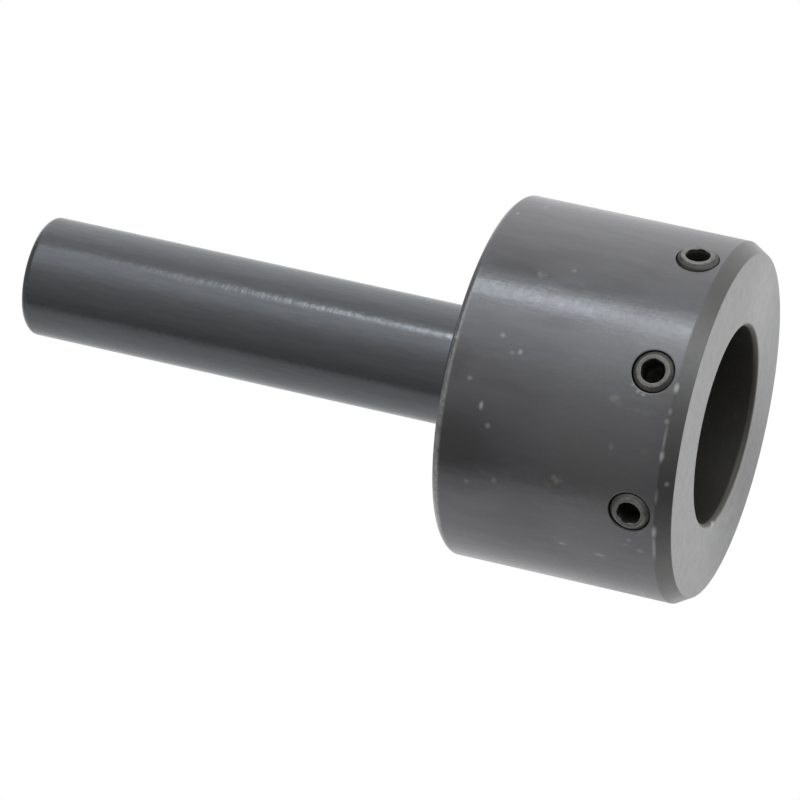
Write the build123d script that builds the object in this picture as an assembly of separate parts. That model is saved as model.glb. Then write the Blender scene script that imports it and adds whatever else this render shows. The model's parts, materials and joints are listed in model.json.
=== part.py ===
"""Round die holder: a turned steel body and the three set screws that grip the die.

All sizes are in millimetres. The body is turned about Z. The origin is the centre of
the head's front face, on which the holder stands, and +Z runs up through the head to
the free end of the shank. The middle set screw faces -Y, so the other two stand 45
degrees to its left (-X) and right (+X).
"""
import os
from math import cos, radians, sin, tan

from build123d import *

# The head, a plain drum
head_dia = 38.1
head_len = 25.4
front_bevel_len = 1.55
front_bevel_depth = 0.95
back_break = 0.5

# The shank, turned in one piece with the head
shank_dia = 12.7
shank_len = 50.8
shank_end_break = 0.65
shank_root_radius = 0.4

# The round die that the pocket is made for, and its sliding fit
die_dia = 20.64
die_thickness = 6.35
die_clearance = 0.04
mouth_radius = 0.55

# The drilled hole behind the die, which lets the cut thread through
relief_dia = 12.7
relief_len = 11.0
relief_point_angle = 118.0
seat_break = 0.3

# The tapped holes through the head's wall, in the plane of the die's middle
screw_station = 4.2
screw_spacing_angle = 45.0
middle_screw_angle = -90.0
hole_break = 0.08

# The set screws: plain cylinders at the thread's pitch diameter, the mean of root and outside
screw_pitch_dia = 4.31
screw_len = 7.94
screw_clearance = 0.05
screw_top_break = 0.46
socket_across_flats = 2.38
socket_depth = 3.0
socket_mouth_break = 0.1
socket_point_angle = 118.0
cup_rim_radius = 1.2
cup_radius = 1.05
cup_angle = 118.0
cone_tip_radius = 0.25

# How far the end of a screw stands out of the drum: the right one is turned in less
screw_stand_out = 0.2
right_screw_stand_out = 0.45

# Each screw's place round the drum, its stand-out, and how far round its socket is turned
screw_settings = {
    "left": (-screw_spacing_angle, screw_stand_out, 12.0),
    "middle": (0.0, screw_stand_out, 41.0),
    "right": (screw_spacing_angle, right_screw_stand_out, 25.0),
}

# Sizes that follow from the ones above
head_radius = head_dia / 2
shank_radius = shank_dia / 2
pocket_radius = die_dia / 2 + die_clearance
pocket_depth = screw_station + die_thickness / 2
relief_radius = relief_dia / 2
relief_bottom = pocket_depth + relief_len
overall_len = head_len + shank_len
screw_radius = screw_pitch_dia / 2
hole_radius = screw_radius + screw_clearance


def point_height(radius, angle):
    """Height of a drilled hole's conical end, from its radius and full angle."""
    return radius / tan(radians(angle / 2))


def radial_plane(angle, radius):
    """Plane across a set screw's axis, facing away from the drum's axis."""
    outward = (cos(radians(angle)), sin(radians(angle)), 0)
    origin = (radius * outward[0], radius * outward[1], screw_station)
    return Plane(origin=origin, x_dir=(0, 0, 1), z_dir=outward)


def turned(points):
    """Solid of revolution about Z from a closed outline of (radius, height) points."""
    with BuildPart() as part:
        with BuildSketch(Plane.XZ):
            with BuildLine():
                Polyline(*points, close=True)
            make_face()
        revolve(axis=Axis.Z)
    return part.part


def turned_body():
    """Head and shank in one piece, with the die's pocket and the hole behind it."""
    with BuildPart() as part:
        with BuildSketch(Plane.XZ):
            with BuildLine():
                root_start = (shank_radius + shank_root_radius, head_len)
                root_end = (shank_radius, head_len + shank_root_radius)
                root_centre = (root_start[0], root_end[1])
                mouth_end = (pocket_radius, mouth_radius)
                mouth_start = (pocket_radius + mouth_radius, 0)
                mouth_centre = (mouth_start[0], mouth_end[1])
                Polyline(
                    mouth_start,
                    (head_radius - front_bevel_depth, 0),
                    (head_radius, front_bevel_len),
                    (head_radius, head_len - back_break),
                    (head_radius - back_break, head_len),
                    root_start,
                )
                CenterArc(root_centre, shank_root_radius, 180, 90)
                Polyline(
                    root_end,
                    (shank_radius, overall_len - shank_end_break),
                    (shank_radius - shank_end_break, overall_len),
                    (0, overall_len),
                    (0, relief_bottom + point_height(relief_radius, relief_point_angle)),
                    (relief_radius, relief_bottom),
                    (relief_radius, pocket_depth + seat_break),
                    (relief_radius + seat_break, pocket_depth),
                    (pocket_radius, pocket_depth),
                    mouth_end,
                )
                CenterArc(mouth_centre, mouth_radius, 180, 90)
            make_face()
        revolve(axis=Axis.Z)
    return part.part


def screw_hole(angle):
    """Cutter for one tapped hole: a cylinder through the wall and a small countersink."""
    inner = pocket_radius / 2
    rise = head_radius
    drill = turned(
        [
            (0, inner),
            (hole_radius, inner),
            (hole_radius, head_radius - hole_break),
            (hole_radius + hole_break + rise, head_radius + rise),
            (0, head_radius + rise),
        ]
    )
    return radial_plane(angle, 0) * drill


def set_screw(name):
    """One socket set screw, its end face on the plane z = 0 before it is placed.

    The middle one has a cone point, which opens the die's split. The outer two have a
    cup point, which bites on the die and closes it.
    """
    if name == "middle":
        point = [
            (0, -screw_len),
            (cone_tip_radius, -screw_len),
            (screw_radius, -screw_len + screw_radius - cone_tip_radius),
        ]
    else:
        point = [
            (0, -screw_len + point_height(cup_radius, cup_angle)),
            (cup_radius, -screw_len),
            (cup_rim_radius, -screw_len),
            (screw_radius, -screw_len + screw_radius - cup_rim_radius),
        ]
    blank = turned(
        point + [(screw_radius, -screw_top_break), (screw_radius - screw_top_break, 0), (0, 0)]
    )
    flats_radius = socket_across_flats / 2
    corner_radius = flats_radius / cos(radians(30))
    hexagon = RegularPolygon(corner_radius, 6)
    socket = Pos(0, 0, -socket_depth) * extrude(hexagon, amount=socket_depth)
    drilled = turned(
        [
            (0, -socket_depth - point_height(flats_radius, socket_point_angle)),
            (flats_radius, -socket_depth),
            (flats_radius, -socket_mouth_break),
            (flats_radius + socket_mouth_break, 0),
            (0, 0),
        ]
    )
    turn, stand_out, clocking = screw_settings[name]
    screw = Rot(0, 0, clocking) * (blank - socket - drilled)
    return radial_plane(middle_screw_angle + turn, head_radius + stand_out) * screw


body = turned_body()
for turn, _, _ in screw_settings.values():
    body -= screw_hole(middle_screw_angle + turn)

os.makedirs("parts", exist_ok=True)
export_step(body, "parts/holder_body.step")
for name in screw_settings:
    export_step(set_screw(name), f"parts/set_screw_{name}.step")
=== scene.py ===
# %% [markdown]
# # A round die holder
#
# The real thing is a lathe tool. A solid steel shank goes into a collet or a chuck, and
# the drum at its other end has a round pocket for a threading die. Three socket set
# screws come through the drum's wall and grip the die. The steel is blackened: a thin
# dark skin, dull on the drum, a little smoother on the ground shank, and worn through
# to bright metal along the edges.
#
# The measured solids are loaded first. Every size below is taken from them, or is a
# small finishing size that is named where it is used. The plain ones equal the solids'
# own, except for the clearance round the screws. The solids keep 0.05 mm there because
# they move, while the real gap is a hairline.

# %% Load the measured frame
import json
from math import radians, tan

import bmesh
import bpy
import numpy as np
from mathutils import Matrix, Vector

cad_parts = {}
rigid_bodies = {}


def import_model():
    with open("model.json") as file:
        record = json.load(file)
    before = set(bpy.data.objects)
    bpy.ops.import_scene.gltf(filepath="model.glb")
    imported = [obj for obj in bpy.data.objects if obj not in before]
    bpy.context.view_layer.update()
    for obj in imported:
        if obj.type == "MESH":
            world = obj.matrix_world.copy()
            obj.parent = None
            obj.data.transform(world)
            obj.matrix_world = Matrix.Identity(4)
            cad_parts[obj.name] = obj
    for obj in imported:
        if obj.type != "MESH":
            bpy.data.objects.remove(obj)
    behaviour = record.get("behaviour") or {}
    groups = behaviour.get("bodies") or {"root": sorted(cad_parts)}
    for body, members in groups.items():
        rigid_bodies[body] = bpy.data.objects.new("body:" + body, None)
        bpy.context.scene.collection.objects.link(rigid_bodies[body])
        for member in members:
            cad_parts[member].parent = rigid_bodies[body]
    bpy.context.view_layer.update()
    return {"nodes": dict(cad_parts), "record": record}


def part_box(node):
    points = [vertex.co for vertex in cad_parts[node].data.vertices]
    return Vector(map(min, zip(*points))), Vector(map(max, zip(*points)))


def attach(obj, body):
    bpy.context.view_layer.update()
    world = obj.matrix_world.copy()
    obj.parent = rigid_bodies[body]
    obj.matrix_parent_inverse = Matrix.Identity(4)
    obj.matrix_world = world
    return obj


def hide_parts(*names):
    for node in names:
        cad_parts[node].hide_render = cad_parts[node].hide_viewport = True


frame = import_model()
MM = 0.001
print("nodes:", sorted(frame["nodes"]))

# %% Sizes read from the frame
mounts = {mount["name"]: mount for mount in frame["record"]["mounts"]}
body_low, body_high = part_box("holder_body")
screw_low, screw_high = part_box("set_screw_middle")
head_radius = (body_high[0] - body_low[0]) / 2
total_length = body_high[2]
shank_radius = mounts["shank"]["dims"]["r_mm"] * MM
pocket_radius = mounts["die_pocket"]["dims"]["r_mm"] * MM
relief_radius = mounts["thread_clearance"]["dims"]["r_mm"] * MM
screw_radius = (screw_high[0] - screw_low[0]) / 2
screw_length = screw_high[1] - screw_low[1]
screw_station = (screw_high[2] + screw_low[2]) / 2
print("head radius", round(head_radius / MM, 3), "mm, length", round(total_length / MM, 2), "mm")
print("screw radius", round(screw_radius / MM, 3), "mm, station", round(screw_station / MM, 2), "mm")

# %% Finishing sizes of the turned body
head_length = 25.4 * MM
front_bevel_length = 1.55 * MM
front_bevel_depth = 0.95 * MM
back_break = 0.5 * MM
shank_end_break = 0.65 * MM
shank_root = 0.4 * MM
mouth_radius = 0.55 * MM
die_thickness = 6.35 * MM
seat_break = 0.3 * MM
relief_length = 11.0 * MM
drill_point = 118.0
screw_clearance = 0.025 * MM
hole_break = 0.08 * MM
pocket_depth = screw_station + die_thickness / 2
relief_bottom = pocket_depth + relief_length
relief_tip = relief_bottom + relief_radius / tan(radians(drill_point / 2))
hole_radius = screw_radius + screw_clearance
SCREW_ANGLES = {"left": -135.0, "middle": -90.0, "right": -45.0}

# %% [markdown]
# ## Surfaces from arrays
#
# A turned part is one outline swept round an axis. Blender's Spin tool or a Screw
# modifier could do that, but the drum has holes through its wall, so the mesh is worked
# out here as a grid of points instead: one row for each point of the outline and one
# column for each angle. Numpy computes the whole grid at once, and one call hands it to
# the mesh. Rows lie close together beside an edge and far apart on a plain run, so that
# smooth shading stays true right up to a crisp corner.

# %% Grid helpers
COLUMNS = 320
COLUMN_ANGLES = np.arange(COLUMNS) * 2 * np.pi / COLUMNS


def grid_faces(rows, columns, start=0, closed=True):
    """Quads of a grid whose points are numbered row by row, from start.

    The quad at (i, j) joins (i, j), (i + 1, j), (i + 1, j + 1) and (i, j + 1). A closed
    grid joins its last column to its first.
    """
    i, j = np.meshgrid(np.arange(rows - 1), np.arange(columns if closed else columns - 1), indexing="ij")
    k = (j + 1) % columns
    quads = np.stack([i * columns + j, (i + 1) * columns + j, (i + 1) * columns + k, i * columns + k], -1)
    return quads.reshape(-1, 4) + start


def turned_points(outline):
    """Points (r cos a, r sin a, z) for each outline point (r, z) and each column's angle a."""
    r = outline[:, :1]
    z = np.repeat(outline[:, 1:], COLUMNS, 1)
    return np.stack([r * np.cos(COLUMN_ANGLES), r * np.sin(COLUMN_ANGLES), z], -1)


def mesh_piece(name, parts):
    """One object from a list of (points, quads), with equal points merged.

    Each part's quads count from its own first point. Where two parts meet they have the
    same points, so merging closes the seam, and it also closes the ring of equal points
    at a pole into one.
    """
    points = np.concatenate([p.reshape(-1, 3) for p, _ in parts])
    sizes = np.cumsum([0] + [p.reshape(-1, 3).shape[0] for p, _ in parts])
    quads = np.concatenate([q + s for (_, q), s in zip(parts, sizes)])
    mesh = bpy.data.meshes.new(name)
    mesh.from_pydata(points.tolist(), [], quads.tolist())
    work = bmesh.new()
    work.from_mesh(mesh)
    bmesh.ops.remove_doubles(work, verts=work.verts, dist=1e-6)
    work.to_mesh(mesh)
    work.free()
    mesh.shade_smooth()
    piece = bpy.data.objects.new(name, mesh)
    bpy.context.scene.collection.objects.link(piece)
    return piece


# %% [markdown]
# A real edge is never perfectly sharp. The outline helper takes the corners of the
# turned section and cuts each one with a tiny curve, which is what catches the light as
# a fine line. Beside each curve it adds a few close rows, and on long plain runs only
# as many as asked.

# %% Rounded outline
SHOULDERS = np.array([0.09, 0.24, 0.5]) * MM


def rounded_outline(corners):
    """Outline through (r, z) corners, each cut by a small circular arc.

    A corner is (r, z, cut, steps): the arc starts at a and ends at b, both at the
    distance cut from the corner c. With k the cosine of half the turn, it is
    ((1-t)^2 a + 2t(1-t) k c + t^2 b) / ((1-t)^2 + 2t(1-t) k + t^2). A wide arc gets more
    points. After it comes a straight run with the given number of even steps, and close
    rows at both of its ends.
    """
    place = np.array([c[:2] for c in corners])
    cut = np.array([c[2] for c in corners])
    runs = np.diff(place, axis=0)
    lengths = np.hypot(runs[:, 0], runs[:, 1])
    units = runs / lengths[:, None]
    pieces = [place[:1]]
    for n, (unit, length) in enumerate(zip(units, lengths)):
        begin, stop = cut[n], length - cut[n + 1]
        even = np.linspace(begin, stop, corners[n][3] + 1)
        near = np.concatenate([begin + SHOULDERS, stop - SHOULDERS])
        near = near[(near > begin) & (near < stop)]
        along = np.unique(np.round(np.concatenate([even, near]), 9))
        keep = np.concatenate([[True], np.diff(along) > 0.02 * MM])
        pieces.append(place[n] + along[keep][:, None] * unit)
        if n + 1 < len(units):
            t = np.linspace(0, 1, 5 if cut[n + 1] < 0.2 * MM else 10)[1:-1, None]
            a = place[n + 1] - cut[n + 1] * unit
            b = place[n + 1] + cut[n + 1] * units[n + 1]
            k = np.sqrt((1 + unit @ units[n + 1]) / 2)
            weights = [(1 - t) ** 2, 2 * t * (1 - t) * k, t ** 2]
            pieces.append((weights[0] * a + weights[1] * place[n + 1] + weights[2] * b) / sum(weights))
    pieces.append(place[-1:])
    outline = np.concatenate(pieces)
    apart = np.concatenate([[True], np.hypot(*np.diff(outline, axis=0).T) > 0.005 * MM])
    apart[-1] = True
    return outline[apart]


# %% [markdown]
# ## The turned body
#
# The body is one piece of steel: shank, drum, front ring, pocket, seat and the drilled
# hole behind it. Its outline is walked from the shank's far end, down the outside, over
# the front ring and up into the pocket. Two stretches of it are pierced by the tapped
# holes, the drum's wall and the pocket's wall, and these are made apart.

# %% Where the outline is cut into stretches
band_top = 7.2 * MM
band_bottom = front_bevel_length + 0.08 * MM
pocket_band_low = mouth_radius + 0.25 * MM
crisp = 0.05 * MM
soft = 0.09 * MM

outer_outline = rounded_outline([
    (0, total_length, 0, 3),
    (shank_radius - shank_end_break, total_length, 4 * soft, 2),
    (shank_radius, total_length - shank_end_break, 4 * soft, 8),
    (shank_radius, head_length, shank_root, 4),
    (head_radius - back_break, head_length, 2 * soft, 2),
    (head_radius, head_length - back_break, 2 * soft, 12),
    (head_radius, band_top, 0, 0),
])
nose_outline = rounded_outline([
    (head_radius, band_bottom, 0, 1),
    (head_radius, front_bevel_length, crisp, 5),
    (head_radius - front_bevel_depth, 0, crisp, 12),
    (pocket_radius, 0, mouth_radius, 1),
    (pocket_radius, pocket_band_low, 0, 0),
])
inner_outline = rounded_outline([
    (pocket_radius, band_top, 0, 1),
    (pocket_radius, pocket_depth, crisp, 3),
    (relief_radius + seat_break, pocket_depth, crisp, 1),
    (relief_radius, pocket_depth + seat_break, crisp, 4),
    (relief_radius, relief_bottom, crisp, 3),
    (0, relief_tip, 0, 0),
])
print("outline rows:", len(outer_outline), len(nose_outline), len(inner_outline))

# %% [markdown]
# A hole in a curved wall is the awkward part. The wall is unrolled in thought: across
# it runs the angle, up it runs the height. A rectangular window of quads is left out of
# the grid round each hole. Its border is then joined to the hole's edge by a fan of
# quads, whose points slide in a straight line from the edge, which is round, to the
# border, which is square. Both walls get such windows, with as many border points each,
# so that a tube of quads can run from one to the other.

# %% Pierced bands
FAN_RINGS = 8
DRUM_WINDOW = (10, 34)
POCKET_WINDOW = (16, 22)


def window_border(half_columns, rows):
    """Border of a window as (column, row) steps from its lower middle, anticlockwise.

    The count is 2 * (2 * half_columns + rows), and the walk starts at the window's right
    edge, at the lowest row, so that two windows with as many points start alike.
    """
    width = 2 * half_columns
    right = np.stack([np.full(rows, half_columns), np.arange(rows)], 1)
    top = np.stack([half_columns - np.arange(width), np.full(width, rows)], 1)
    left = np.stack([np.full(rows, -half_columns), rows - np.arange(rows)], 1)
    bottom = np.stack([-half_columns + np.arange(width), np.zeros(width, int)], 1)
    return np.concatenate([right, top, left, bottom])


def hole_turn(radius, low, high, window):
    """Direction of each border point as seen from the hole's centre, always rising."""
    half_columns, rows = window
    border = window_border(half_columns, rows)
    across = radius * border[:, 0] * 2 * np.pi / COLUMNS
    up = low + (high - low) * border[:, 1] / rows - screw_station
    return np.unwrap(np.arctan2(up, across))


def pierced_band(radius, low, high, window, edge_radius, inward):
    """A cylinder's wall between two heights with a window for each hole, and the fans.

    A fan's point is edge + (border - edge) * w^1.25, in angle and height, with w from 0
    at the hole to 1 at the border.
    """
    half_columns, rows = window
    heights = np.linspace(high, low, rows + 1)
    wall = turned_points(np.stack([np.full(rows + 1, radius), heights], 1))
    quads = grid_faces(rows + 1, COLUMNS)
    column = quads[:, 0] % COLUMNS
    border = window_border(half_columns, rows)
    turn = hole_turn(radius, low, high, window)
    step = 2 * np.pi / COLUMNS
    edge_angle = np.arcsin(edge_radius * np.cos(turn) / radius)
    edge_height = screw_station + edge_radius * np.sin(turn)
    border_angle = border[:, 0] * step
    border_height = low + (high - low) * border[:, 1] / rows
    w = (np.linspace(0, 1, FAN_RINGS + 1) ** 1.25)[:, None]
    angle = edge_angle + (border_angle - edge_angle) * w
    height = edge_height + (border_height - edge_height) * w
    fan_quads = grid_faces(FAN_RINGS + 1, len(border))
    parts = []
    for screw_angle in SCREW_ANGLES.values():
        centre = round(screw_angle / 360 * COLUMNS) % COLUMNS
        inside = ((column - centre + half_columns) % COLUMNS) < 2 * half_columns
        quads, column = quads[~inside], column[~inside]
        turned = angle + radians(screw_angle)
        fan = np.stack([radius * np.cos(turned), radius * np.sin(turned), height], -1)
        parts.append((fan, fan_quads[:, ::-1] if inward else fan_quads))
    if inward:
        return [(wall, quads[:, ::-1])] + parts
    return [(wall, quads)] + parts


# %% [markdown]
# The tube between the two walls is the tapped hole. It starts with a small break at the
# drum's surface and carries the thread as grooves that wind round it. They are cut
# outwards from the wall, so the screw can slide through at any position, and they fade
# in below the mouth, where a real tap starts clean.

# %% Tapped holes
TUBE_ROWS = 42
thread_pitch = 0.794 * MM
tapped_groove = 0.2 * MM


def groove(phase):
    """Depth of a thread's groove from 0 to 1, for a phase that rises by 1 for each turn.

    The crest is flat over an eighth of the pitch and the root over a quarter.
    """
    away = 0.5 - np.abs(phase % 1 - 0.5)
    return np.clip((away - 1 / 16) / (1 / 2 - 1 / 16 - 1 / 8), 0, 1)


def tapped_hole(screw_angle):
    """Tube from the drum's wall to the pocket's, round the screw's own axis.

    A point is (tangent, height, outward) = (r cos t, r sin t, y), where t moves from the
    outer window's directions to the inner one's, and y from one curved wall's height
    above the axis, sqrt(R^2 - (r cos t)^2), to the other's.
    """
    outer = hole_turn(head_radius, band_bottom, band_top, DRUM_WINDOW)
    inner = hole_turn(pocket_radius, pocket_band_low, band_top, POCKET_WINDOW)
    w = (np.linspace(0, 1, TUBE_ROWS) ** 1.5)[:, None]
    t = outer + (inner - outer) * w
    mouth = hole_radius + hole_break
    top = np.sqrt(head_radius ** 2 - (mouth * np.cos(t)) ** 2)
    bottom = np.sqrt(pocket_radius ** 2 - (hole_radius * np.cos(t)) ** 2)
    y = top + (bottom - top) * w
    depth = top - y
    radius = np.maximum(mouth - depth, hole_radius)
    fade = np.clip(depth / (0.5 * MM) - 0.4, 0, 1) * np.clip((y - bottom) / (0.5 * MM), 0, 1)
    radius = radius + tapped_groove * fade * groove(y / thread_pitch - t / (2 * np.pi))
    a = radians(screw_angle)
    tangent = radius * np.cos(t)
    points = np.stack([
        y * np.cos(a) - tangent * np.sin(a),
        y * np.sin(a) + tangent * np.cos(a),
        screw_station + radius * np.sin(t),
    ], -1)
    return points, grid_faces(TUBE_ROWS, t.shape[1])[:, ::-1]


# %% Put the body together
def turned_skin(outline):
    """The outline turned through a full circle."""
    return turned_points(outline), grid_faces(len(outline), COLUMNS)


body_parts = [turned_skin(outer_outline), turned_skin(nose_outline), turned_skin(inner_outline)]
body_parts += pierced_band(head_radius, band_bottom, band_top, DRUM_WINDOW, hole_radius + hole_break, False)
body_parts += pierced_band(pocket_radius, pocket_band_low, band_top, POCKET_WINDOW, hole_radius, True)
body_parts += [tapped_hole(angle) for angle in SCREW_ANGLES.values()]
turned_body = mesh_piece("turned_body", body_parts)
print("turned_body:", len(turned_body.data.vertices), "points,", len(turned_body.data.polygons), "faces")


# %% [markdown]
# ## The set screws
#
# Each screw is one grid as well: columns round its own axis, and rows that run from the
# tip, up the thread, over the end face and down into the hexagonal socket. The thread is
# a groove that winds round. Near the ends it is cut off by the chamfer or the point, just
# as on a real screw, by taking the smaller of two radii.

# %% Finishing sizes of the screws
SCREW_COLUMNS = 96
external_groove = 0.28 * MM
top_break = 0.46 * MM
thread_run_out = 1.2 * MM
socket_flats = 2.38 * MM
socket_depth = 3.0 * MM
socket_corner = 1.06
socket_mouth_break = 0.1 * MM
cup_rim = 1.2 * MM
cup_radius = 1.05 * MM
cone_tip = 0.25 * MM
THREAD_ROWS = 132
LAST_ROWS = np.array([0.08, 0.05, 0.025]) * MM
SOCKET_ROWS = np.array([0, 0.02, 0.05, 0.08, 0.11, 0.15, 0.3, 0.5, 1, 2, socket_depth / MM]) * MM
CLOCKING = {"left": 12.0, "middle": 41.0, "right": 25.0}


def points_of(piece):
    """The piece's points as an array of x, y, z rows."""
    flat = np.empty(len(piece.data.vertices) * 3, np.float32)
    piece.data.vertices.foreach_get("co", flat)
    return flat.reshape(-1, 3)


def farthest_out(node_name, angle):
    """Greatest distance of a solid's points from Z, measured along one direction."""
    x, y, _ = points_of(frame["nodes"][node_name]).T
    return float((x * np.cos(radians(angle)) + y * np.sin(radians(angle))).max())


SCREW_TOPS = {name: farthest_out("set_screw_" + name, angle) for name, angle in SCREW_ANGLES.items()}
print("end faces, mm from the axis:", {name: round(top / MM, 3) for name, top in SCREW_TOPS.items()})


# %% One threaded screw
def threaded_screw(name):
    """One set screw, in its place in the drum.

    Height w runs up from the tip. The outside is the least of the thread's radius, the
    chamfer's and the point's, and the thread grows shallow in its last run below the top.
    The socket's radius at depth d is the greater of the hexagon's, which is
    a / cos(angle from the middle of a flat) up to its rounded corners, and the mouth
    break's.
    """
    turn = np.arange(SCREW_COLUMNS) * 2 * np.pi / SCREW_COLUMNS
    tip = cone_tip if name == "middle" else cup_rim
    inner_tip = 0.5 * cone_tip if name == "middle" else cup_radius
    hollow = 0 if name == "middle" else cup_radius / tan(radians(drill_point / 2))
    flats = socket_flats / 2
    face_edge = screw_radius - top_break
    w = np.append(np.linspace(0, screw_length - LAST_ROWS[0], THREAD_ROWS), screw_length - LAST_ROWS[1:])
    cut = external_groove * np.clip((screw_length - w) / thread_run_out, 0.2, 1)[:, None]
    thread = screw_radius - cut * groove(w[:, None] / thread_pitch - turn / (2 * np.pi))
    chamfer = face_edge + screw_length - w
    outside = np.minimum(thread, np.minimum(chamfer, tip + w)[:, None])
    face = np.array([face_edge - 0.03 * MM, face_edge - 0.12 * MM, 1.5 * MM, 1.38 * MM])
    hexagon = flats * np.minimum(1 / np.cos(turn % (np.pi / 3) - np.pi / 6), socket_corner)
    walls = np.maximum(hexagon, (flats + socket_mouth_break - SOCKET_ROWS)[:, None])
    cone = np.array([0.97, 0.6, 0.3, 0]) * flats
    cone_depths = socket_depth + (flats - cone) / tan(radians(drill_point / 2))

    def ring(radii):
        """The same radii for every column."""
        return np.repeat(np.atleast_1d(radii)[:, None], SCREW_COLUMNS, 1)

    radius = np.concatenate([ring(0), ring(inner_tip), outside, ring(face), walls, ring(cone)])
    height = np.concatenate([
        [hollow, 0],
        w,
        np.full(len(face), screw_length),
        screw_length - SOCKET_ROWS,
        screw_length - cone_depths,
    ])
    around = turn + radians(90 + CLOCKING[name])
    a = radians(SCREW_ANGLES[name])
    tangent = radius * np.cos(around)
    outward = SCREW_TOPS[name] - screw_length + height[:, None]
    points = np.stack([
        outward * np.cos(a) - tangent * np.sin(a),
        outward * np.sin(a) + tangent * np.cos(a),
        screw_station + radius * np.sin(around),
    ], -1)
    return points, grid_faces(len(height), SCREW_COLUMNS)[:, ::-1]


screws = {name: mesh_piece("threaded_screw_" + name, [threaded_screw(name)]) for name in SCREW_ANGLES}
print("one screw:", len(screws["middle"].data.polygons), "faces")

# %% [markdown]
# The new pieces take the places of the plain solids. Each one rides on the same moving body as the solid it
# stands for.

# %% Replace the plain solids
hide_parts("holder_body")
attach(turned_body, "holder")
for name, screw in screws.items():
    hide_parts("set_screw_" + name)
    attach(screw, name + "_screw")

# %% [markdown]
# ## How near is an edge?
#
# The dark skin wears off where things rub, and that is at the edges. A shader's Bevel or
# Pointiness node can find edges, but both depend on the renderer and the mesh. Here each
# point simply stores a number: 1 on an edge, and less with the distance from it. The
# material reads it and breaks it up with noise. The lists hold each edge's circle as
# radius, height, the width of its wear and how strong it is.

# %% Wear stored on the points
def store(piece, name, values):
    """Keep one number for each point, under a name that the material reads."""
    layer = piece.data.attributes.new(name, "FLOAT", "POINT")
    layer.data.foreach_set("value", np.clip(values, 0, 1).astype(np.float32))


BODY_EDGES = [
    (head_radius, front_bevel_length, 0.13, 0.6),
    (head_radius - front_bevel_depth, 0, 0.12, 0.6),
    (head_radius, head_length - back_break, 0.16, 0.9),
    (head_radius - back_break, head_length, 0.16, 0.9),
    (shank_radius, total_length - shank_end_break, 0.2, 0.9),
    (shank_radius - shank_end_break, total_length, 0.2, 0.9),
]
x, y, z = points_of(turned_body).T
r = np.hypot(x, y)
body_wear = np.zeros(len(r))
for edge_radius, edge_height, width, strength in BODY_EDGES:
    away = np.hypot(r - edge_radius, z - edge_height) / (width * MM)
    body_wear = np.maximum(body_wear, strength * np.exp(-away ** 2))
store(turned_body, "wear", body_wear)

# %% [markdown]
# Oil and dust do the opposite and gather where nothing rubs: in the tapped holes, in the
# threads and in the sockets. A second number marks these places.

# %% Grime stored on the points
body_grime = np.zeros(len(r))
for angle in SCREW_ANGLES.values():
    tangent = -x * np.sin(radians(angle)) + y * np.cos(radians(angle))
    outward = x * np.cos(radians(angle)) + y * np.sin(radians(angle))
    from_axis = np.hypot(tangent, z - screw_station)
    past_rim = (from_axis - hole_radius - hole_break) / (0.12 * MM)
    near_hole = (outward > pocket_radius * 0.9) & (from_axis < 3 * MM)
    body_grime = np.maximum(body_grime, near_hole * np.clip(0.1 - 0.3 * past_rim, 0, 0.4))
store(turned_body, "grime", body_grime)

for name, screw in screws.items():
    x, y, z = points_of(screw).T
    a = radians(SCREW_ANGLES[name])
    depth = SCREW_TOPS[name] - (x * np.cos(a) + y * np.sin(a))
    from_axis = np.hypot(-x * np.sin(a) + y * np.cos(a), z - screw_station)
    face_edge = screw_radius - top_break
    socket_rim = socket_flats / 2 + socket_mouth_break
    on_face = np.exp(-(depth / (0.06 * MM)) ** 2)
    rim_distance = np.minimum(np.abs(from_axis - face_edge), np.abs(from_axis - socket_rim))
    store(screw, "wear", on_face * np.exp(-(rim_distance / (0.12 * MM)) ** 2))
    in_socket = (from_axis < socket_rim - 0.02 * MM) * np.clip(depth / (0.3 * MM) - 0.5, 0, 1)
    in_thread = np.clip((from_axis - face_edge) / (0.1 * MM), 0, 1)
    store(screw, "grime", np.maximum(in_socket, 0.5 * in_thread))
print("wear above half on", int((body_wear > 0.5).sum()), "of", len(body_wear), "points")

# %% [markdown]
# ## The blackened finish
#
# The finish is a thin oxide, so nearly all of what one sees is a dark mirror image of
# the room, blurred by the fine tool marks. The materials are built from nodes. A few
# short helpers keep that readable: the first adds any node and takes values or links for
# its inputs, and the others do arithmetic, stretch a position or add noise.

# %% Node helpers
def node(tree, kind, inputs=None, **settings):
    """Add a node, set its options, and give each named input a value or a link."""
    made = tree.nodes.new(kind)
    for name, value in settings.items():
        setattr(made, name, value)
    for name, value in (inputs or {}).items():
        if isinstance(value, bpy.types.NodeSocket):
            tree.links.new(value, made.inputs[name])
        else:
            made.inputs[name].default_value = value
    return made


def maths(tree, operation, a, b=0.0, clamp=False):
    """The result of one arithmetic node on two values or links."""
    return node(tree, "ShaderNodeMath", {0: a, 1: b}, operation=operation, use_clamp=clamp).outputs[0]


def span(tree, value, low, high, to_low=0.0, to_high=1.0):
    """Smoothly remap a value from one span to another, and hold it at the ends."""
    inputs = {"Value": value, "From Min": low, "From Max": high, "To Min": to_low, "To Max": to_high}
    return node(tree, "ShaderNodeMapRange", inputs, interpolation_type="SMOOTHSTEP").outputs["Result"]


def new_group(name, inputs, outputs):
    """An empty node group with the given sockets, and its two end nodes."""
    group = bpy.data.node_groups.new(name, "ShaderNodeTree")
    for socket, kind in inputs.items():
        group.interface.new_socket(socket, in_out="INPUT", socket_type=kind)
    for socket, kind in outputs.items():
        group.interface.new_socket(socket, in_out="OUTPUT", socket_type=kind)
    return group, group.nodes.new("NodeGroupInput"), group.nodes.new("NodeGroupOutput")


def use_group(tree, group, inputs):
    """Put a group into a tree."""
    return node(tree, "ShaderNodeGroup", inputs, node_tree=group).outputs


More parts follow.
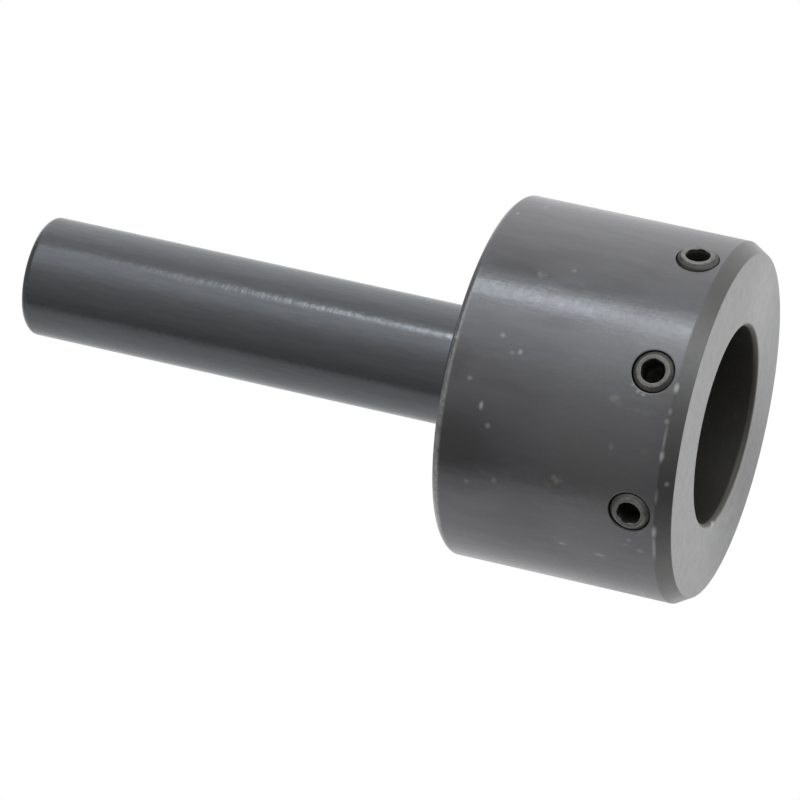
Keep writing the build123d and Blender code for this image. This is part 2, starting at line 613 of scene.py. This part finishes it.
def times(tree, a, b):
    """The product of two values or links."""
    return maths(tree, "MULTIPLY", a, b)


def plus(tree, a, b):
    """The sum of two values or links."""
    return maths(tree, "ADD", a, b)


def stretch(tree, vector, factors):
    """A vector with each of its parts multiplied by its own factor."""
    return node(tree, "ShaderNodeVectorMath", {0: vector, 1: factors}, operation="MULTIPLY").outputs[0]


def noise(tree, vector, scale, detail=2.0, roughness=0.5):
    """The outputs of a noise texture, with Fac for a number and Color for three."""
    inputs = {"Vector": vector, "Scale": scale, "Detail": detail, "Roughness": roughness}
    return node(tree, "ShaderNodeTexNoise", inputs).outputs


# %% [markdown]
# Black oxide comes out of its bath slightly cloudy. The first group makes that: weak
# streaks a few millimetres long, which follow the way the part was rubbed dry, and finer
# grain on top of them. It is used by the body and the screws.

# %% Clouds in the oxide
clouds, clouds_in, clouds_out = new_group(
    "oxide_clouds",
    {"Position": "NodeSocketVector"},
    {"Streaks": "NodeSocketFloat", "Fine": "NodeSocketFloat"},
)
drawn_out = stretch(clouds, clouds_in.outputs["Position"], (1.0, 1.0, 0.22))
streaks = noise(clouds, drawn_out, 0.75, detail=3.0, roughness=0.55)
fine = noise(clouds, clouds_in.outputs["Position"], 1.7, detail=3.0, roughness=0.6)
clouds.links.new(streaks["Fac"], clouds_out.inputs["Streaks"])
clouds.links.new(fine["Fac"], clouds_out.inputs["Fine"])

# %% [markdown]
# The second group turns the stored wear into bare metal. Noise is added before the
# threshold, so an edge is bright in dashes and not all along.

# %% Worn edges
worn, worn_in, worn_out = new_group(
    "worn_edges",
    {"Position": "NodeSocketVector", "Amount": "NodeSocketFloat"},
    {"Bare": "NodeSocketFloat"},
)
wear_number = node(worn, "ShaderNodeAttribute", attribute_name="wear").outputs["Fac"]
patches = noise(worn, worn_in.outputs["Position"], 0.55, detail=5.0, roughness=0.75)["Fac"]
uneven = times(worn, maths(worn, "SUBTRACT", patches, 0.5), 2.4)
level = plus(worn, plus(worn, wear_number, uneven), worn_in.outputs["Amount"])
bare = times(worn, span(worn, level, 0.85, 1.35), span(worn, wear_number, 0.08, 0.4))
worn.links.new(bare, worn_out.inputs["Bare"])

# %% [markdown]
# The third group is a single fleck: a chip, a spot of lint, a rubbed place, a painted glint or a patch of
# painted shade, as an ellipse that is worked out from the distance to its middle. Wobbling the position
# with noise first makes its outline ragged.

# %% One fleck
fleck, fleck_in, fleck_out = new_group(
    "fleck",
    {"Position": "NodeSocketVector", "Middle": "NodeSocketVector", "Shrink": "NodeSocketVector",
     "Core": "NodeSocketFloat"},
    {"Mask": "NodeSocketFloat"},
)
offset = node(fleck, "ShaderNodeVectorMath", {
    0: fleck_in.outputs["Position"], 1: fleck_in.outputs["Middle"]}, operation="SUBTRACT").outputs[0]
scaled = stretch(fleck, offset, fleck_in.outputs["Shrink"])
reach = node(fleck, "ShaderNodeVectorMath", {0: scaled}, operation="LENGTH").outputs["Value"]
fleck.links.new(span(fleck, reach, fleck_in.outputs["Core"], 1.0, 1.0, 0.0), fleck_out.inputs["Mask"])


def flecks(tree, position, marks, radius, core):
    """Greatest of the masks of several flecks on a drum of the given radius.

    A mark is (height, turn from the middle screw, half height, half width, strength), in
    millimetres and degrees. Turn counts towards the left screw. Core is the part of each
    ellipse that has full strength.
    """
    total = 0.0
    for height, turn, half_height, half_width, strength in marks:
        angle = radians(SCREW_ANGLES["middle"] - turn)
        middle = (radius * np.cos(angle), radius * np.sin(angle), height)
        shrink = (1 / half_width, 1 / half_width, 1 / half_height)
        inputs = {"Position": position, "Middle": middle, "Shrink": shrink, "Core": core}
        mask = use_group(tree, fleck, inputs)["Mask"]
        total = maths(tree, "MAXIMUM", total, times(tree, mask, strength))
    return total


# %% [markdown]
# The marks below are those of one used holder: small bright chips and bits of lint on the drum, worn dashes
# on the front corner and smears of old cutting oil. Some flecks are painted highlight: one on the back rim
# and two on the shank are the glint where the lamp's bright stripe meets the drum, and one pale place is
# the stripe's painted spread near the front. The dark places are painted shade beside the back rim and on
# the drum's lower side.

# %% Places of the marks, painted glints and painted shade
# Painted highlight: the fleck at height 25.0, turn 2.5 is the glint where the lamp's stripe meets the back
# rim.
CHIPS_AND_GLINT = [
    (20.2, -1.0, 0.42, 0.38, 0.34), (18.0, 2.9, 0.36, 0.42, 0.55), (18.8, 3.6, 0.42, 0.34, 0.25),
    (25.0, 2.5, 0.55, 0.45, 0.9), (22.5, 13.9, 0.4, 0.38, 0.42), (20.8, 21.3, 0.34, 0.65, 0.85),
    (19.8, 27.0, 0.45, 0.45, 0.45), (21.5, 47.0, 0.4, 0.4, 0.22), (18.6, 44.5, 0.44, 0.44, 0.24),
    (6.8, 25.1, 0.34, 0.55, 0.2), (7.4, 65.8, 0.8, 0.36, 0.34), (11.4, 64.4, 0.65, 0.35, 0.3),
    (24.0, -49.2, 0.35, 0.4, 0.3), (22.0, -59.2, 0.4, 1.0, 0.15), (15.4, -27.6, 0.4, 0.36, 0.27),
    (4.5, 58.1, 0.45, 0.3, 0.15), (4.2, 55.8, 0.45, 0.4, 0.22), (3.0, 59.4, 0.55, 0.4, 0.24),
    (5.9, 5.4, 0.25, 0.3, 0.3), (5.2, 6.9, 0.4, 0.3, 0.5), (4.6, 7.5, 0.4, 0.25, 0.5),
]
WORN_DASHES = [
    (1.45, 3.4, 0.36, 0.75, 0.95), (1.5, 10.8, 0.28, 0.5, 0.42), (1.6, 13.9, 0.45, 0.38, 0.45),
    (1.5, 19.5, 0.22, 2.4, 0.5), (1.5, 24.6, 0.34, 0.9, 1.0), (1.5, 37.7, 0.26, 1.3, 0.45),
    (1.5, 56.5, 0.24, 2.8, 0.62), (1.5, 50.5, 0.34, 1.1, 0.9), (1.5, 59.0, 0.24, 0.9, 0.65),
]
BEVEL_CHIPS = [(0.7, 33.4, 0.4, 0.4, 0.7)]
SMEARS = [
    (18.5, -23.7, 0.8, 0.7, 0.42), (7.3, 10.6, 0.9, 0.75, 0.5), (4.5, 12.6, 2.6, 0.4, 0.15),
    (12.1, 39.2, 0.75, 0.7, 0.7), (12.9, 41.8, 0.5, 0.5, 0.25), (10.2, 27.0, 0.5, 0.4, 0.1),
    (3.2, 25.0, 0.8, 0.8, 0.1), (3.0, 50.0, 0.9, 1.2, 0.25),
]
# Paler patches on the drum. The third, at height 3.5 and turn -8.5, is a painted highlight: the lamp's
# stripe spread out near the front.
PALE_PLACES_AND_HIGHLIGHT = [(8.5, 22.0, 9.0, 16.0, 0.75), (9.0, 57.0, 6.0, 6.0, 0.45), (3.5, -8.5, 6.0, 4.5, 1.0)]
# Painted shade: the dark places darken the drum beside the back rim, on its lower side and just above the
# stripe.
SHADE_PLACES = [
    (23.5, 36.0, 7.5, 7.0, 0.7), (21.0, -24.0, 6.0, 2.6, 0.35), (24.0, 9.0, 2.0, 3.0, 0.4),
    (13.0, 73.0, 14.0, 8.0, 0.35),
]
# Painted highlight: these two flecks on the shank are the glint of the lamp's stripe near the head.
SHANK_GLINT = [(29.4, -15.6, 0.5, 0.4, 0.26), (28.7, -16.5, 0.35, 0.3, 0.2)]
MOUTH_CHIPS = [(0.08, 119.0, 0.35, 0.45, 0.9), (0.1, 121.5, 0.35, 0.35, 0.7)]

# %% [markdown]
# ### The body's material
#
# A metallic Principled shader with a dark colour stands for the oxide over steel. Every
# pattern reads the position in the piece's own space, in millimetres, so that nothing
# slides when a body moves.

# %% Start of a finish
def finish_material(name):
    """A new material with its tree, its shader, and the position in millimetres."""
    material = bpy.data.materials.new(name)
    material.use_nodes = True
    tree = material.node_tree
    shader = tree.nodes["Principled BSDF"]
    place = node(tree, "ShaderNodeTexCoord").outputs["Object"]
    position = node(tree, "ShaderNodeVectorMath", {0: place, "Scale": 1 / MM}, operation="SCALE").outputs[0]
    return material, tree, shader, position


def colour_mix(tree, factor, first, second):
    """Blend two colours, or links to them."""
    mix = node(tree, "ShaderNodeMix", {"Factor": factor}, data_type="RGBA")
    for socket, value in ((mix.inputs[6], first), (mix.inputs[7], second)):
        if isinstance(value, bpy.types.NodeSocket):
            tree.links.new(value, socket)
        else:
            socket.default_value = (*value, 1)
    return mix.outputs[2]


# %% [markdown]
# The colours are linear reflectances. The drum, the bevel, the shank and the front ring each have an oxide
# colour of their own, because each was cut in its own way. Inside the pocket and the bore the colour is
# darker and browner.

# %% Colours of the body
OXIDE = (0.193, 0.193, 0.202)
OXIDE_LIGHT = (0.209, 0.210, 0.217)
# Paler tone for the pale places, one of which is a painted highlight.
PALE_TONE_AND_HIGHLIGHT = (0.235, 0.236, 0.240)
# Painted shade tone, for the dark places on the drum.
PAINTED_SHADE_TONE = (0.125, 0.125, 0.127)
BEVEL_OXIDE = (0.195, 0.194, 0.190)
BORE_DARKER = (0.115, 0.112, 0.100)
SHANK_OXIDE = (0.155, 0.161, 0.169)
SHANK_LIGHT = (0.168, 0.174, 0.182)
FACE_OXIDE = (0.222, 0.224, 0.219)
FACE_DARK = (0.055, 0.055, 0.053)
FACE_LIGHT = (0.300, 0.300, 0.295)
# Bare steel of worn edges and chips, also used as the colour of the painted glints.
BARE_STEEL_AND_GLINT = (0.60, 0.60, 0.59)
OLD_OIL = (0.42, 0.415, 0.385)
GRIME = (0.040, 0.038, 0.034)

# %% [markdown]
# The material has to know which surface a point lies on. The radius and the height tell
# it: each mask below is 1 on its own surface and 0 elsewhere, with a short smooth step.

# %% Which surface is it?
body_finish, tree, shader, position = finish_material("blackened_body")
x_mm, y_mm, z_mm = node(tree, "ShaderNodeSeparateXYZ", {0: position}).outputs
radius_squared = plus(tree, maths(tree, "POWER", x_mm, 2), maths(tree, "POWER", y_mm, 2))
radius_mm = maths(tree, "SQRT", radius_squared)
head_top = head_length / MM
pocket_wall = pocket_radius / MM
bevel_top = front_bevel_length / MM
on_shank = span(tree, z_mm, head_top - 0.1, head_top + 0.3)
on_drum = span(tree, radius_mm, head_radius / MM - 0.5, head_radius / MM - 0.1)
on_bevel = span(tree, z_mm, bevel_top - 0.15, bevel_top + 0.15, 1.0, 0.0)
on_face = span(tree, z_mm, 0.02, 0.06, 1.0, 0.0)
near_wall = span(tree, radius_mm, pocket_wall + 0.2, pocket_wall + 0.5, 1.0, 0.0)
below_shank = span(tree, z_mm, head_top - 2, head_top - 1, 1.0, 0.0)
in_bore = times(tree, near_wall, below_shank)

# %% [markdown]
# On the sides the tool marks run round, and on the front ring they are circles, so both
# follow from one number: radius plus height, which grows along either surface. Noise of
# that number alone gives the lines, and a faint change with the place breaks them up.

# %% Tool marks
along = plus(tree, radius_mm, z_mm)
slow_place = node(tree, "ShaderNodeVectorMath", {0: position, "Scale": 0.06}, operation="SCALE").outputs[0]
broad_line, fine_line = [
    node(tree, "ShaderNodeTexNoise", {
        "Vector": slow_place, "W": times(tree, along, lines_per_mm), "Scale": 1.0, "Detail": 2.0,
    }, noise_dimensions="4D").outputs["Fac"]
    for lines_per_mm in (1.2, 5.0)
]
cloud = use_group(tree, clouds, {"Position": position})

# %% [markdown]
# The lists of marks are put on their surfaces here. Smears and broad places get a
# position that is wobbled by noise first, so their outlines are ragged.

# %% Marks on the body
# Painted highlight: the glints at the back rim and on the shank go in here with the chips.
marks = 0.0
for places, radius in (
    (CHIPS_AND_GLINT + WORN_DASHES, head_radius),
    (BEVEL_CHIPS, head_radius - 0.5 * MM),
    (SHANK_GLINT, shank_radius),
    (MOUTH_CHIPS, pocket_radius + 0.4 * MM),
):
    marks = maths(tree, "MAXIMUM", marks, flecks(tree, position, places, radius / MM, 0.05))
ragged = noise(tree, position, 1.6, detail=3.0)["Color"]
half = (0.5, 0.5, 0.5)
centred = node(tree, "ShaderNodeVectorMath", {0: ragged, 1: half}, operation="SUBTRACT").outputs[0]
wobble = {0: centred, 1: (1.6, 1.6, 1.6), 2: position}
wobbled = node(tree, "ShaderNodeVectorMath", wobble, operation="MULTIPLY_ADD").outputs[0]
smears = flecks(tree, wobbled, SMEARS, head_radius / MM, 0.1)
painted_shade = flecks(tree, wobbled, SHADE_PLACES, head_radius / MM, 0.2)
pale_and_highlight = flecks(tree, wobbled, PALE_PLACES_AND_HIGHLIGHT, head_radius / MM, 0.4)

# %% [markdown]
# The drum's back rim is rubbed nearly white on the left side. It is a thin ring, kept to
# that side by one very large fleck.

# %% Worn back rim
RIM_TURN = 40.0
RIM_REACH = 24.0
rim_height = (head_length - back_break) / MM
rim_below = span(tree, z_mm, rim_height - 0.45, rim_height - 0.1)
rim_above = span(tree, z_mm, rim_height + 0.2, rim_height + 0.5, 1.0, 0.0)
rim_angle = radians(SCREW_ANGLES["middle"] - RIM_TURN)
rim_middle = (head_radius / MM * np.cos(rim_angle), head_radius / MM * np.sin(rim_angle), rim_height)
rim_inputs = {"Position": position, "Middle": rim_middle, "Shrink": (1 / RIM_REACH,) * 3, "Core": 0.2}
rim_side = use_group(tree, fleck, rim_inputs)["Mask"]
rim_strength = times(tree, rim_side, span(tree, cloud["Fine"], 0.35, 0.6, 0.35, 0.65))
marks = maths(tree, "MAXIMUM", marks, times(tree, times(tree, rim_below, rim_above), rim_strength))
edge_bare = use_group(tree, worn, {"Position": position, "Amount": 0.0})["Bare"]
# Worn edges, chips and the painted glints all become bare steel here.
bare_metal_and_glints = maths(tree, "MAXIMUM", edge_bare, marks, clamp=True)

# %% [markdown]
# The front ring was faced last. It is lighter than the drum, shows the facing tool's
# fine circles, and has one dark and one light patch.

# %% Colour of the front ring
def face_patch(turn, half_size, strength):
    """Mask of a wide soft patch on the front ring, at a turn from the middle screw."""
    angle = radians(SCREW_ANGLES["middle"] - turn)
    ring = (head_radius + pocket_radius) / 2 / MM
    middle = (ring * np.cos(angle), ring * np.sin(angle), 0)
    inputs = {"Position": wobbled, "Middle": middle, "Shrink": (1 / half_size,) * 3, "Core": 0.0}
    return times(tree, use_group(tree, fleck, inputs)["Mask"], strength)


face = colour_mix(tree, face_patch(172, 18.0, 0.95), FACE_OXIDE, FACE_DARK)
face = colour_mix(tree, face_patch(-92, 9.0, 0.9), face, FACE_LIGHT)
face_lines = span(tree, plus(tree, fine_line, cloud["Fine"]), 0.8, 1.3, 0.0, 0.25)
face = colour_mix(tree, face_lines, face, FACE_LIGHT)

# %% [markdown]
# Fine hairlines run lengthwise along the shank. All the colours are then laid over each
# other, from the oxide up to the grime.

# %% Colour of the whole body
along_shank = stretch(tree, position, (2.4, 2.4, 0.3))
hairlines = noise(tree, along_shank, 1.0, detail=3.0)["Fac"]
shank_oxide = colour_mix(tree, span(tree, hairlines, 0.38, 0.62), SHANK_OXIDE, SHANK_LIGHT)
oxide = colour_mix(tree, span(tree, cloud["Streaks"], 0.36, 0.64), OXIDE, OXIDE_LIGHT)
# Painted shade on the drum, from the dark places.
oxide = colour_mix(tree, times(tree, painted_shade, on_drum), oxide, PAINTED_SHADE_TONE)
# Paler patches, and the painted spread of the stripe near the front.
oxide = colour_mix(tree, times(tree, pale_and_highlight, on_drum), oxide, PALE_TONE_AND_HIGHLIGHT)
oxide = colour_mix(tree, on_shank, oxide, shank_oxide)
oxide = colour_mix(tree, on_bevel, oxide, BEVEL_OXIDE)
oxide = colour_mix(tree, on_face, oxide, face)
# Darker and browner inside the pocket and the bore.
oxide = colour_mix(tree, in_bore, oxide, BORE_DARKER)
oiled = colour_mix(tree, smears, oxide, OLD_OIL)
# Bare steel for worn edges and chips, and painted highlight for the glints.
brightened = colour_mix(tree, bare_metal_and_glints, oiled, BARE_STEEL_AND_GLINT)
grime = node(tree, "ShaderNodeAttribute", attribute_name="grime").outputs["Fac"]
tree.links.new(colour_mix(tree, grime, brightened, GRIME), shader.inputs["Base Color"])

# %% [markdown]
# The drum is a little duller towards its front. The bore and the grime are duller still, and the shank is
# smoothest. The marks are less metallic, which reads as dirt on the chips and as a flat bright patch on the
# painted glints. The inside of the bore is less metallic too.

# %% Roughness and metal
rough = span(tree, plus(tree, cloud["Fine"], cloud["Streaks"]), 0.75, 1.25, 0.21, 0.26)
rough = plus(tree, rough, span(tree, z_mm, 4.0, 16.0, 0.065, 0.0))
rough = maths(tree, "SUBTRACT", rough, times(tree, on_shank, 0.04))
rough = plus(tree, rough, times(tree, grime, 0.25))
rough = plus(tree, rough, times(tree, in_bore, 0.18))
tree.links.new(rough, shader.inputs["Roughness"])
less_metallic = plus(tree, times(tree, marks, 0.5), times(tree, in_bore, 0.25))
tree.links.new(maths(tree, "SUBTRACT", 1.0, less_metallic), shader.inputs["Metallic"])

# %% [markdown]
# Four kinds of unevenness, thousandths of a millimetre deep, break up the reflections:
# the tool's lines, slow waves lengthwise, a short chatter and a fine grain. They differ
# between the turned drum and the ground shank.

# %% Bump
def by_part(on_head, on_the_shank):
    """A height in millimetres that differs between the head and the shank."""
    return span(tree, on_shank, 0.0, 1.0, on_head, on_the_shank)


tool_lines = plus(tree, broad_line, times(tree, fine_line, 0.3))
chatter = noise(tree, stretch(tree, position, (0.6, 0.6, 1.7)), 1.0)["Fac"]
height = times(tree, tool_lines, by_part(0.004, 0.016))
height = plus(tree, height, times(tree, cloud["Streaks"], by_part(0.022, 0.010)))
height = plus(tree, height, times(tree, chatter, by_part(0.017, 0.014)))
height = plus(tree, height, times(tree, cloud["Fine"], by_part(0.004, 0.016)))
bump = node(tree, "ShaderNodeBump", {"Height": height, "Strength": 1.0, "Distance": MM})
tree.links.new(bump.outputs["Normal"], shader.inputs["Normal"])
turned_body.data.materials.append(body_finish)
print("body material:", len(tree.nodes), "nodes")

# %% [markdown]
# ### The screws' material
#
# Set screws are hardened and blackened in bulk. Their skin is darker and more even than
# the body's, and only the rims of the end face and of the socket are rubbed bright.

# %% Screw material
SCREW_OXIDE = (0.198, 0.194, 0.180)
SCREW_LIGHT = (0.290, 0.285, 0.262)

screw_finish, tree, shader, position = finish_material("blackened_screw")
cloud = use_group(tree, clouds, {"Position": position})
edge_bare = use_group(tree, worn, {"Position": position, "Amount": 0.1})["Bare"]
oxide = colour_mix(tree, span(tree, cloud["Fine"], 0.35, 0.7), SCREW_OXIDE, SCREW_LIGHT)
brightened = colour_mix(tree, times(tree, edge_bare, 0.5), oxide, BARE_STEEL_AND_GLINT)
grime = node(tree, "ShaderNodeAttribute", attribute_name="grime").outputs["Fac"]
tree.links.new(colour_mix(tree, grime, brightened, GRIME), shader.inputs["Base Color"])
rough = plus(tree, span(tree, cloud["Fine"], 0.3, 0.7, 0.34, 0.46), times(tree, grime, 0.2))
tree.links.new(rough, shader.inputs["Roughness"])
tree.links.new(maths(tree, "SUBTRACT", 1.0, times(tree, grime, 0.6)), shader.inputs["Metallic"])
bump = node(tree, "ShaderNodeBump", {"Height": cloud["Fine"], "Strength": 0.4, "Distance": 0.008 * MM})
tree.links.new(bump.outputs["Normal"], shader.inputs["Normal"])
for screw in screws.values():
    screw.data.materials.append(screw_finish)

# %% [markdown]
# ## The room
#
# A dark shiny drum looks like whatever stands round it. The room is therefore part of
# the job: a white backdrop behind the object, a dim room on the camera's side, and one
# tall soft lamp that draws the bright stripe along the drum. The room is a world whose
# brightness depends on the direction. The camera itself sees plain white.
#
# Directions are counted as degrees round from the camera's side, and the stripe's lamp
# stands at 38 of them. One list holds the room's brightness at the camera's height, the
# other a good way below it, where the bevel looks. Each step was set by trial, until the
# dark bands and the stripe lay where the photograph has them.

# %% The room's brightness
VIEW_AZIMUTH = -10.8
ROOM_START = -120
ROOM = [
    (-120, 0.78), (-100, 0.88), (-80, 1.02), (-60, 0.9), (-50, 0.96), (-30, 1.03), (-18, 1.0),
    (-8, 0.9), (2, 0.78), (12, 0.68), (22, 0.62), (28, 0.62), (33, 0.94), (38, 1.02), (44, 0.96),
    (52, 0.93), (60, 0.89), (68, 0.75), (78, 0.58), (90, 0.45), (104, 0.38), (120, 0.32),
    (136, 0.25), (153, 0.20), (158, 0.42), (168, 0.50), (185, 0.58), (210, 0.715), (228, 0.75),
    (240, 0.78),
]
ROOM_BELOW = [
    (-120, 0.68), (-105, 0.82), (-90, 1.02), (-75, 0.95), (-60, 0.80), (-42, 0.77), (-26, 0.70),
    (-9, 0.63), (9, 0.64), (20, 0.92), (30, 1.13), (45, 0.99), (55, 0.88), (77, 0.5),
    (102, 0.34), (127, 0.23), (149, 0.14), (160, 0.17), (170, 0.25), (189, 0.38), (206, 0.60),
    (222, 0.60), (237, 0.66), (240, 0.68),
]
OVERHEAD = (0.28, 0.28, 0.28)
world = bpy.data.worlds.new("room")
world.use_nodes = True
bpy.context.scene.world = world
tree = world.node_tree
tree.nodes.clear()
direction = node(tree, "ShaderNodeTexCoord").outputs["Generated"]
split = node(tree, "ShaderNodeSeparateXYZ", {0: direction})
azimuth = maths(tree, "ARCTAN2", split.outputs["Y"], split.outputs["X"])
turns = times(tree, azimuth, -1 / (2 * np.pi))
start = (VIEW_AZIMUTH - ROOM_START) / 360
turn_fraction = maths(tree, "FRACT", plus(tree, turns, start + 1))


def room_ramp(levels):
    """Colour ramp round the room from (degrees round, brightness), cooler on the lamp's side."""
    ramp = node(tree, "ShaderNodeValToRGB", {"Fac": turn_fraction})
    steps = ramp.color_ramp.elements
    while len(steps) < len(levels):
        steps.new(0.5)
    for step, (degrees_round, brightness) in zip(steps, levels):
        step.position = (degrees_round - ROOM_START) / 360
        cool = 0.025 * (30 < degrees_round < 70)
        step.color = (brightness * (1 - cool), brightness, brightness * (1.01 + cool), 1)
    return ramp.outputs["Color"]


height = split.outputs["Z"]
lowness = node(tree, "ShaderNodeMapRange", {"Value": height, "From Min": 0.10, "From Max": -0.42})
room = colour_mix(tree, lowness.outputs[0], room_ramp(ROOM), room_ramp(ROOM_BELOW))
room = colour_mix(tree, span(tree, height, 0.55, 0.9), room, OVERHEAD)
underfoot = span(tree, height, -0.97, -0.78, 0.45, 1.0)
camera_ray = node(tree, "ShaderNodeLightPath").outputs["Is Camera Ray"]
graded = node(tree, "ShaderNodeBackground", {"Color": room, "Strength": underfoot}).outputs[0]
white = node(tree, "ShaderNodeBackground", {"Color": (1, 1, 1, 1), "Strength": 1.0}).outputs[0]
chosen = node(tree, "ShaderNodeMixShader", {0: camera_ray, 1: graded, 2: white}).outputs[0]
node(tree, "ShaderNodeOutputWorld", {"Surface": chosen})
print("the room:", len(ROOM), "steps of brightness at the camera's height,", len(ROOM_BELOW), "below")

# %% [markdown]
# The tall soft lamp is an area light. It stands close, with its upper end a little above
# the drum, so the stripe is strong on the drum and weakens along the shank.

# %% The stripe's lamp
STRIPE_DIRECTION = 38.0
lamp_distance = 0.4
lamp_width = 0.054
lamp_top = 0.168
lamp_bottom = 0.0
lamp_data = bpy.data.lights.new("tall_soft_lamp", "AREA")
lamp_data.shape = "RECTANGLE"
lamp_data.size = lamp_width
lamp_data.size_y = lamp_top - lamp_bottom
lamp_data.energy = 0.064
lamp_data.color = (0.87, 0.93, 0.985)
lamp = bpy.data.objects.new("tall_soft_lamp", lamp_data)
bpy.context.scene.collection.objects.link(lamp)
lamp_angle = radians(VIEW_AZIMUTH - STRIPE_DIRECTION)
lamp_height = (lamp_top + lamp_bottom) / 2
lamp.location = (lamp_distance * np.cos(lamp_angle), lamp_distance * np.sin(lamp_angle), lamp_height)
lamp.visible_camera = False
lamp.rotation_euler = (radians(90), 0, lamp_angle + radians(90))

# %% [markdown]
# The floor is there for views from above. It catches the object's shadow and fades into
# the white further out. Only camera rays from above meet it: from below, and in the
# steel's reflections, it is clear, because the picture is taken from slightly under the
# object's foot.

# %% Floor
floor_mesh = bpy.data.meshes.new("floor")
side = 1.2
floor_corners = [(-side, -side, 0), (side, -side, 0), (side, side, 0), (-side, side, 0)]
floor_mesh.from_pydata(floor_corners, [], [(0, 1, 2, 3)])
floor = bpy.data.objects.new("floor", floor_mesh)
bpy.context.scene.collection.objects.link(floor)
floor.location.z = -0.02 * MM
paper = bpy.data.materials.new("white_paper")
paper.use_nodes = True
tree = paper.node_tree
shader = tree.nodes["Principled BSDF"]
place = node(tree, "ShaderNodeTexCoord").outputs["Object"]
grain = noise(tree, place, 60.0, detail=3.0)["Fac"]
paper_colour = colour_mix(tree, grain, (0.86, 0.86, 0.86), (0.89, 0.89, 0.89))
tree.links.new(paper_colour, shader.inputs["Base Color"])
shader.inputs["Roughness"].default_value = 0.9
distance = node(tree, "ShaderNodeVectorMath", {0: place}, operation="LENGTH").outputs["Value"]
far_out = span(tree, distance, 0.03, 0.15, 0.4, 1.0)
glow = node(tree, "ShaderNodeEmission", {"Color": (1, 1, 1, 1), "Strength": 1.0}).outputs[0]
faded = node(tree, "ShaderNodeMixShader", {0: far_out, 1: shader.outputs[0], 2: glow}).outputs[0]
from_above = maths(tree, "SUBTRACT", 1.0, node(tree, "ShaderNodeNewGeometry").outputs["Backfacing"])
camera_ray = node(tree, "ShaderNodeLightPath").outputs["Is Camera Ray"]
clear = node(tree, "ShaderNodeBsdfTransparent").outputs[0]
shown = node(tree, "ShaderNodeMixShader", {0: times(tree, from_above, camera_ray), 1: clear, 2: faded})
tree.links.new(shown.outputs[0], tree.nodes["Material Output"].inputs["Surface"])
floor_mesh.materials.append(paper)

# %% [markdown]
# ## The camera
#
# A long lens from 0.6 m away, rolled so that the shank points to the left of the picture
# and a little up. The roll is the angle between the camera's up and an upright view's.

# %% Camera
VIEW_ELEVATION = -16.17
VIEW_ROLL = 77.41
AIM = np.array([-6.373, -8.216, 31.952]) * MM
camera_distance = 614.65 * MM
a, e, roll = (radians(angle) for angle in (VIEW_AZIMUTH, VIEW_ELEVATION, VIEW_ROLL))
back = np.array([np.sin(a) * np.cos(e), -np.cos(a) * np.cos(e), np.sin(e)])
right = np.array([np.cos(a), np.sin(a), 0.0])
up = np.cross(back, right)
picture_up = np.cos(roll) * up + np.sin(roll) * right
picture_right = np.cross(picture_up, back)
camera_data = bpy.data.cameras.new("camera")
camera_data.lens = 269.736
camera_data.sensor_width = 36.0
camera = bpy.data.objects.new("camera", camera_data)
bpy.context.scene.collection.objects.link(camera)
place = AIM + camera_distance * back
turn_matrix = np.eye(4)
turn_matrix[:3] = np.stack([picture_right, picture_up, back, place], 1)
camera.matrix_world = turn_matrix.T.tolist()
bpy.context.scene.camera = camera
bpy.context.scene.view_settings.view_transform = "Standard"
print("camera at", np.round(place / MM, 1), "mm")
